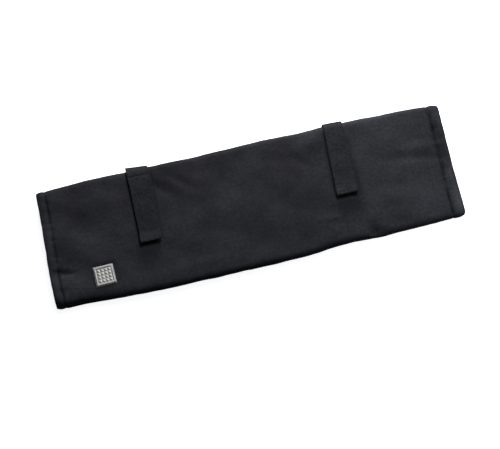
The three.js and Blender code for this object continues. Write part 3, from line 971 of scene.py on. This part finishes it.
def makeCover():
    x = coverStations()
    y, z, thick, lean, innerStart = coverPath(x)
    columns = np.arange(y.shape[1])
    xs = x[:, None] + 0 * y
    middle = len(x) // 2
    travel = running(np.hypot(np.diff(y[middle]), np.diff(z[middle]))) + 0 * y
    total = travel[0, -1]
    plain = np.stack([xs, y, z], 2)
    normal = gridNormals(plain)
    onTop = smoothStep(0.2, 0.8, normal[..., 2]) * (columns < innerStart)
    inside = smoothStep(innerStart - 10, innerStart, columns)
    relief, seamAndShade = coverRelief(xs, y, travel, total, onTop)
    relief = relief * (1 - onTop * (1 - pressedFlat(xs, y, 3.0)))
    relief = np.where(z < 1.5, np.minimum(relief, 0), relief) * (1 - 0.6 * inside)
    # the cut ends and the long free edges are folded cloth, so they round off
    distance, hem = hemDistance(xs)
    longEdge = np.minimum(travel, total - travel)
    edge = np.minimum(distance, longEdge)
    doubled = 0.6 * (1 - smoothStep(cover["flapHem"], cover["flapHem"] + 0.9, longEdge))
    radius = wall * (1 + np.maximum(thick[:, None] / wall - 1, doubled)) / 2
    rounding = roundedEdge(edge, radius)
    outer = plain + normal * (relief - radius * (1 - rounding))[..., None]
    follow = 0.3 + 0.35 * smoothStep(12, 30, distance)
    inner = plain + normal * (-radius - radius * rounding + follow * relief)[..., None]
    slide = coverSlide(xs, y, travel, lean, inside)
    place, front, back = np.array(sideReach).T
    push = np.where(y < 0, -np.interp(xs, place, front), np.interp(xs, place, back))
    push = push * smoothStep(40, 68, np.abs(y))
    for grid in (outer, inner):
        grid[..., 0] += slide
        grid[..., 1] += push
    outer[..., 2] = np.maximum(outer[..., 2], cover["tableGap"])
    shoulder = bell(z - (rollHeight - 3.5), 3) * (1 - np.abs(normal[..., 2]))
    values = {
        # lighter where worn at the raised edges, lighter along the fold shoulders, and the table's
        # greying, painted highlights and painted shade on the top
        "wearAndPaintedLight": 0.3 * bell(edge, 1.8) + 0.35 * shoulder + patches(xs, y, greyingAndPaintedLight) * onTop,
        "hem": 1 - smoothStep(hem - 1, hem, distance),
        "seamAndShade": np.clip(seamAndShade, 0, 1),
    }
    return x, outer, inner, normal, np.stack([xs, travel], 2), values, total


stations, outer, inner, faceOut, clothUv, clothValues, panelLength = makeCover()
cloth = sheetMesh("rolled_cloth", outer, inner, clothUv, clothValues)
cloth.data.materials.append(textileMaterial("pack cloth", cover["look"]))
print("rolled cloth", len(cloth.data.polygons), "faces, panel", round(panelLength, 1), "mm")


# Straps
def strapLine(x, tipY, slack):
    # the webbing's middle as y and z, from its root under the roll to its turned-under end
    back = readSections(np.array([x / rollLength]))["back"][0] * rollWidth
    turnY = back - foldReach
    clearance, standoff, thick = strap["clearance"], strap["standoff"], strap["thickness"]
    # places across, the face below and the gap to it: the root, the back fold, the top
    t = np.linspace(0, 1, 26, endpoint=False)
    root = (turnY - strap["root"] * (1 - t), innerFloor + 0 * t, clearance + 0 * t)
    t = np.linspace(0, 1, 30, endpoint=False)
    ease = smoothStep(0, 1, t)
    angle = (1 - t) * quarterTurn
    lower = (back - foldReach * (1 - np.cos(angle)), between(foldMiddle, innerFloor, np.sin(angle)),
             between(clearance, slack, ease))
    angle = t * quarterTurn
    y = back - foldReach * (1 - np.cos(angle))
    upper = (y, between(foldMiddle, topFace(x, y), np.sin(angle)), between(slack, standoff, ease))
    y = np.linspace(turnY, tipY, 250)
    near = smoothStep(strap["turnUnder"] + 4, 0, y - tipY)
    top = (y, topFace(x, y), standoff + strap["tipLift"] * near)
    y, z, gap = np.concatenate([root, lower, upper, top], axis=1)
    dy, dz = np.gradient(y), np.gradient(z)
    out = np.stack([dz, -dy], 1) / np.hypot(dy, dz)[:, None]
    centre = np.stack([y, z], 1) + out * (gap + thick / 2)[:, None]
    # the free end turns under
    angle = np.linspace(0.15, math.pi, 12)
    turn = np.stack([np.sin(angle), 1 - np.cos(angle)], 1)
    bend = centre[-1] - (thick / 2 + 0.1) * turn
    d = np.linspace(0.4, strap["turnUnder"], 22)
    return np.concatenate([centre, bend, bend[-1] + np.stack([d, 0 * d], 1)])


def makeStrap(side):
    own = strap["sides"][side]
    startX, tipY = own["along"] * rollLength, own["across"] * rollWidth
    half, thick = strap["width"] / 2, strap["thickness"]
    sideways = acrossSteps(half, np.array([0, 0.12, 0.35, 0.8, 1.4, 2.0]), 10)
    place, *bows = np.array(own["bow"]).T
    centre = []
    for offset in sideways:
        twist = np.interp(offset, (-half, 0, half), own["twist"])
        line = strapLine(startX + offset, tipY, strap["backSlack"] + twist)
        fromTip = line[:, 0] - tipY
        stand = np.interp(fromTip, place, bows[0 if offset < 0 else 1])
        xs = startX + offset * (1 + stand / half) + own["lean"] * fromTip
        centre.append(np.column_stack([xs, line]))
    centre = np.array(centre)
    normal = -gridNormals(centre)
    steps = np.diff(centre[len(sideways) // 2], axis=0)
    travel = running(np.linalg.norm(steps, axis=1)) + 0 * centre[..., 0]
    total = travel[0, -1]
    off = sideways[:, None] + 0 * travel
    fromEdge = half - np.abs(off)
    left = roundedEdge(np.minimum(fromEdge, np.minimum(travel, total - travel)), thick / 2)
    fromTip = strap["turnUnder"] + 2.4
    toTip = total - fromTip - travel
    relief = 0.05 * bell(fromEdge - 1.0, 0.6)
    relief = relief + 0.22 * softNoise(travel, off * 0.6, 19, own["seed"])
    lumps = np.abs(softNoise(travel * 0.7, off, 4.5, 41)) * bell(toTip - 24, 22)
    relief = relief + own["lumps"] * lumps
    sewn = bell(toTip - strap["seamSetback"], 0.7)
    # the webbing creases across where it comes over the back fold
    place, depth = own["crease"]
    crease = bell(toTip - place, 1.1) * smoothStep(0, 8, travel - fromTip)
    relief = relief - 0.22 * sewn - depth * crease
    free = smoothStep(14, 2, toTip) * (toTip > 0)
    curl = own["curl"] * (off / half) ** 2 - own["dip"] * bell(off - 1.5, 3.5)
    centre[..., 2] += curl * free
    upper = centre + normal * (thick / 2 * left + relief * left)[..., None]
    lower = centre - normal * (thick / 2 * left - 0.8 * relief * left)[..., None]
    # lighter as its table says, and a painted highlight where it comes over the back fold and faces
    # the light
    greyingAndLight = own["greyingAndLight"] + 0.6 * smoothStep(66, 88, toTip)
    values = {
        "wearAndPaintedLight": 0.1 * bell(fromEdge, 0.8) + 0.6 * bell(toTip, 1.2) + greyingAndLight,
        # painted shade along the stitch line and along the right edge, where the webbing lies dark
        # against the cloth
        "seamAndShade": np.clip(0.45 * sewn + 0.85 * smoothStep(1.3, 0.1, half - off), 0, 1),
        "hem": 0 * travel,
        "travel": travel / perMetre,
        "ribbed": left * smoothStep(0.2, 1.6, fromEdge),
    }
    piece = sheetMesh(f"webbing_{side}", lower, upper, np.stack([off, travel], 2), values)
    k = int(np.argmin(np.abs(toTip[0] - strap["seamSetback"])))
    return piece, total, upper[2:-2, k], normal[2:-2, k]


def makeRibTree(material):
    # fine ribs across a webbing, from the distance along it that its mesh carries
    maker = ShapeMaker("webbing ribs", {"Pitch": 0.0012, "Depth": 0.0001})
    given = maker.given
    turns = maker.maths("DIVIDE", maker.attribute("travel"), given["Pitch"])
    wave = maker.maths("SINE", maker.times(turns, 2 * math.pi))
    wave = maker.times(wave, maker.attribute("ribbed"))
    normal = maker.first("GeometryNodeInputNormal")
    offset = maker.scaled(normal, maker.times(wave, given["Depth"]))
    inputs = {"Geometry": given["Geometry"], "Offset": offset}
    return maker.finish(maker.first("GeometryNodeSetPosition", inputs), material)


ribs = makeRibTree(textileMaterial("strap webbing", strap["look"]))
webbing, strapLines, strapNormals = {}, [], []
for side in strap["sides"]:
    webbing[side], webbingLength, line, normal = makeStrap(side)
    ribs.applyTo(webbing[side], {"Pitch": strap["ribPitch"], "Depth": strap["ribDepth"]})
    strapLines.append(line)
    strapNormals.append(normal)
print("straps", [len(piece.data.polygons) for piece in webbing.values()],
      "faces, webbing length", round(webbingLength, 1), "mm")


# Stitches
stitch = {
    "pitch": 3.4,
    "length": 2.9,
    "thread": 0.42,
    "sink": 0.10,
    "lowest": 0.26,                # the ones underneath are pressed up into the cloth
    "wobble": 3.0,                 # degrees
    "hemThread": (0.0060, 0.0060, 0.0080),
    "strapThread": (0.036, 0.037, 0.039),
}


def makeStitchTree(material):
    # one flattened thread for each step along a line, lying along it and facing out
    sizes = {"Pitch": 0.0034, "Length": 0.0028, "Thread": 0.0004, "Wobble": 0.05, "Seed": 5}
    maker = ShapeMaker("stitches", sizes)
    given = maker.given
    line = maker.first("GeometryNodeMeshToCurve", {"Mesh": given["Geometry"]})
    inputs = {"Curve": line, "Length": given["Pitch"]}
    even = maker.first("GeometryNodeResampleCurve", inputs, mode="LENGTH")
    ball = maker.first("GeometryNodeMeshUVSphere", {"Segments": 6, "Rings": 4, "Radius": 0.5})
    smooth = maker.first("GeometryNodeSetShadeSmooth", {"Geometry": ball})
    inputs = {"Vector": maker.first("GeometryNodeInputTangent")}
    lying = maker.first("FunctionNodeAlignRotationToVector", inputs, axis="X")
    inputs = {"Rotation": lying, "Vector": maker.attribute("facing", "FLOAT_VECTOR")}
    facing = maker.first("FunctionNodeAlignRotationToVector", inputs, axis="Z", pivot_axis="X")
    low = maker.times(given["Wobble"], -1.0)
    turn = maker.combined(z=maker.random("FLOAT", low, given["Wobble"], given["Seed"]))
    inputs = {"Rotation": facing, "Rotate By": maker.rotation(turn)}
    skewed = maker.first("FunctionNodeRotateRotation", inputs, rotation_space="LOCAL")
    flat = maker.times(given["Thread"], 0.8)
    scale = maker.combined(given["Length"], given["Thread"], flat)
    return maker.finish(maker.placed(even, smooth, skewed, scale), material)


def makeThreadMaterial(name, colour):
    material, maker, shader = newMaterial(name)
    twist = maker.rescaled(maker.noise(maker.place(), 900.0, 1.0), 0.3, 0.7)
    maker.put(shader["Base Color"], maker.mixColour(twist, *shades(colour, 0.6, 1)))
    setValues(shader, {"Roughness": 0.5, "Specular IOR Level": 0.3})
    return material


def sew(name, lines, normals, material):
    rise = stitch["thread"] * 0.4 - stitch["sink"]
    raised = [line + normal * rise for line, normal in zip(lines, normals)]
    sizes = {"Pitch": stitch["pitch"], "Length": stitch["length"], "Thread": stitch["thread"]}
    wobble = {"Wobble": math.radians(stitch["wobble"])}
    return makeStitchTree(material).applyTo(pathMesh(name, raised, normals), sizes, wobble)


seamPlaces = np.array([-1, 1]) * (rollLength / 2 - np.array(cover["hemWidth"]))
hemRows = [int(np.argmin(np.abs(stations - place))) for place in seamPlaces]
lowCorner = (-rollLength, -rollLength, stitch["lowest"])
hemStitching = sew("hem_stitching", [np.maximum(outer[row, 4:], lowCorner) for row in hemRows],
                   [faceOut[row, 4:] for row in hemRows],
                   makeThreadMaterial("hem thread", stitch["hemThread"]))
strapStitching = sew("strap_stitching", strapLines, strapNormals,
                     makeThreadMaterial("strap thread", stitch["strapThread"]))
print("stitches", len(hemStitching.data.polygons) + len(strapStitching.data.polygons), "faces")


# Closure tape under each strap: loop pile on a woven backing
closure = {
    "width": 20.0,
    "length": 56.0,
    "setback": 2.5,
    "backing": 1.5,
    "loopPitch": 1.9,
    "loopSize": 1.7,
    "colour": (0.012, 0.012, 0.013),
}


def makeLoopTree(material):
    # small pile loops stood over the faces marked for them
    sizes = {"Spacing": 0.0019, "Loop": 0.0017, "Thread": 0.00028, "Seed": 9}
    maker = ShapeMaker("pile loops", sizes)
    given = maker.given
    inputs = {"Mesh": given["Geometry"], "Density Max": 400000.0, "Seed": given["Seed"],
              "Selection": maker.maths("GREATER_THAN", maker.attribute("piled"), 0.5),
              "Distance Min": maker.times(given["Spacing"], 0.7)}
    points = maker.first("GeometryNodeDistributePointsOnFaces", inputs, distribute_method="POISSON")
    inputs = {"Resolution": 7, "Radius": maker.times(given["Loop"], 0.5)}
    ring = maker.first("GeometryNodeCurvePrimitiveCircle", inputs)
    inputs = {"Resolution": 3, "Radius": given["Thread"]}
    profile = maker.first("GeometryNodeCurvePrimitiveCircle", inputs)
    loop = maker.first("GeometryNodeCurveToMesh", {"Curve": ring, "Profile Curve": profile})
    turn = maker.random("FLOAT_VECTOR", (1.1, 0.0, 0.0), (2.0, 0.0, 6.28), given["Seed"])
    placed = maker.placed(points, loop, maker.rotation(turn))
    return maker.finish(maker.joined(given["Geometry"], placed), material)


def makeTapeMaterial():
    material, maker, shader = newMaterial("closure tape")
    pile = maker.rescaled(maker.noise(maker.place(), 700.0, 2.0), 0.3, 0.7)
    maker.put(shader["Base Color"], maker.mixColour(pile, *shades(closure["colour"], 1, 1.9)))
    maker.put(shader["Normal"], maker.bump(0.5, 0.0003, pile))
    setValues(shader, {"Roughness": 0.85, "Specular IOR Level": 0.2})
    return material


def makeClosure(side):
    own = strap["sides"][side]
    tipY = own["across"] * rollWidth
    start = tipY + strap["turnUnder"] + closure["setback"]
    half, reach, thick = closure["width"] / 2, closure["length"] / 2, closure["backing"]
    edge = np.array([0, 0.15, 0.5, 1.0])
    ys = start + reach - acrossSteps(reach, edge, 41)
    off, y = np.meshgrid(acrossSteps(half, edge, 13), ys, indexing="ij")
    xs = own["along"] * rollLength + off + own["lean"] * (y - tipY)
    inward = np.minimum(half - np.abs(off), np.minimum(start + 2 * reach - y, y - start))
    rise = thick / 2 * roundedEdge(inward, thick / 2)
    middle = topFace(xs, y) + strap["clearance"] + thick / 2
    lower, upper = (np.stack([xs, y, z], 2) for z in (middle - rise, middle + rise))
    piece = sheetMesh(f"closure_tape_{side}", lower, upper, np.stack([off, y - start], 2))
    marked = np.concatenate([np.zeros(off.size), (inward > 1.2).ravel()])
    setAttribute(piece.data, "piled", "FLOAT", marked)
    return piece


loops = makeLoopTree(makeTapeMaterial())
tapes = {}
for side in strap["sides"]:
    tapes[side] = makeClosure(side)
    loops.applyTo(tapes[side], {"Spacing": closure["loopPitch"], "Loop": closure["loopSize"]})
print("closure tapes", [len(piece.data.polygons) for piece in tapes.values()], "faces")


# Metal badge: a raised rim round a field of small pyramids
def makeStudTree(material):
    # a square block of equal pyramids, side by side, joined to the plate that it is given
    sizes = {"Per Side": 4, "Pitch": 0.0045, "Rise": 0.00045, "Height": 0.0011,
             "Turn": 0.0, "Middle X": 0.0, "Middle Y": 0.0}
    maker = ShapeMaker("badge studs", sizes)
    given = maker.given
    count = given["Per Side"]
    span = maker.times(maker.maths("SUBTRACT", count, 1.0), given["Pitch"])
    inputs = {"Size X": span, "Size Y": span, "Vertices X": count, "Vertices Y": count}
    grid = maker.first("GeometryNodeMeshGrid", inputs)
    radius = maker.times(given["Pitch"], 0.5 * math.sqrt(2) * 0.90)
    inputs = {"Vertices": 4, "Radius Top": 0.0, "Radius Bottom": radius, "Depth": given["Rise"]}
    cone = maker.first("GeometryNodeMeshCone", inputs)
    inputs = {"Geometry": cone, "Rotation": (0.0, 0.0, math.pi / 4)}
    squared = maker.first("GeometryNodeTransform", inputs)
    studs = maker.first("GeometryNodeRealizeInstances", {"Geometry": maker.placed(grid, squared)})
    place = maker.combined(given["Middle X"], given["Middle Y"], given["Height"])
    inputs = {"Geometry": studs, "Translation": place, "Rotation": maker.combined(z=given["Turn"])}
    seated = maker.first("GeometryNodeTransform", inputs)
    return maker.finish(maker.joined(given["Geometry"], seated), material)


def makeBadgeMaterial(look):
    material, maker, shader = newMaterial("badge metal")
    place, low = maker.place(), maker.field("recess")
    grain = maker.noise(place, 1.0, 3.0, stretch=(260, 2600, 700))
    metal = maker.mixColour(maker.rescaled(grain, 0.3, 0.7), *shades(look["metal"], 0.78, 1))
    stain = maker.rescaled(maker.noise(place, 330.0, 3.0), 0.45, 0.75, 0.0, 0.45)
    metal = maker.mixColour(stain, metal, look["recess"])
    maker.put(shader["Base Color"], maker.mixColour(low, metal, look["recess"]))
    rough = look["roughness"]
    maker.put(shader["Roughness"], maker.rescaled(grain, 0.2, 0.8, rough, rough + 0.16))
    maker.put(shader["Normal"], maker.bump(0.25, 0.0001, grain))
    setValues(shader, {"Metallic": 1.0})
    return material


def makeBadge(material):
    half = badge["side"] / 2
    body = half - badge["flange"]
    field = body - badge["rimWidth"]
    full, flange = badge["thickness"], badge["flangeHeight"]
    low = full - badge["rimDepth"]
    # distance out from the middle, height of the face there
    profile = np.array([
        (0, low), (field - 0.42, low), (field - 0.30, low + 0.02), (field - 0.12, full - 0.24),
        (field + 0.10, full - 0.12), (field + 0.45, full - 0.04), (field + 1.05, full),
        (body - 0.50, full - 0.06), (body - 0.22, full - 0.14), (body - 0.06, full - 0.26),
        (body, full - 0.45), (body + 0.05, flange + 0.08), (body + 0.14, flange),
        (half - 0.16, flange), (half - 0.05, flange - 0.05), (half, flange - 0.18),
    ])
    outward = np.unique(np.concatenate([profile[:, 0], np.linspace(0, field - 0.42, 14)]))
    line = np.concatenate([-outward[:0:-1], outward])
    u, v = np.meshgrid(line, -line, indexing="ij")
    ring = np.maximum(np.abs(u), np.abs(v))
    height = np.interp(ring, profile[:, 0], profile[:, 1])
    turn = math.radians(badge["turn"])
    c, s = math.cos(turn), math.sin(turn)
    xs, ys, base = badgeX + u * c - v * s, badgeY + u * s + v * c, badgeBox[0][2]
    lower, upper = (np.stack([xs, ys, base + rise], 2) for rise in (0 * height, height))
    groove = 0.75 * bell(ring - (field - 0.5), 0.35) + 0.85 * bell(ring - (body + 0.12), 0.14)
    groove = np.where(ring < field - 0.5, np.maximum(groove, 0.30), groove)
    recess = {"recess": np.clip(groove, 0, 1)}
    piece = sheetMesh("badge_plate", lower, upper, np.stack([u, v], 2), recess)
    piece.data.shade_flat()
    x, y, z = np.array([badgeX, badgeY, base + low]) + rollShift
    sizes = {"Pitch": 2 * (field - 0.45) / badge["studs"], "Rise": badge["studRise"],
             "Height": z, "Middle X": x, "Middle Y": y}
    plain = {"Per Side": badge["studs"], "Turn": turn}
    return makeStudTree(material).applyTo(piece, sizes, plain)


plate = makeBadge(makeBadgeMaterial(badge["look"]))
print("badge", len(plate.data.polygons), "faces")

# What stands for what
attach(cloth, "root")
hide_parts("cover")
for side in strap["sides"]:
    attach(webbing[side], "root")
    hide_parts(f"strap_{side}")
    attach(tapes[side], "root")
    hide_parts(f"closure_pad_{side}")
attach(hemStitching, "root")
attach(strapStitching, "root")
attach(plate, "root")
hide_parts("badge")
